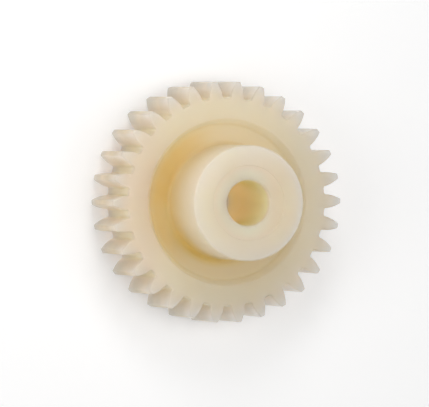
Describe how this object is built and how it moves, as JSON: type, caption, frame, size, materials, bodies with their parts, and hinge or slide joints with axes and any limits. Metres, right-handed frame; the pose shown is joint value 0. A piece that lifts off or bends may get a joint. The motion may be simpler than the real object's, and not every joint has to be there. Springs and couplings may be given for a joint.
{
  "type": "spur gear",
  "caption": "Moulded plastic spur gear with straight involute teeth, a shallow recess in the web, a round hub on one side and a plain through bore.",
  "frame": {"origin": "centre of the back face, on the bore axis", "axes": "+Z along the bore axis from the back face towards the hub's end face; one tooth is centred on +X and a gap on +Y"},
  "size_m": [0.032, 0.0318, 0.0175],
  "materials": {
    "natural_acetal": "satin, slightly translucent ivory"
  },
  "bodies": {
    "root": {"spur_gear": "natural_acetal"}
  },
  "joints": []
}
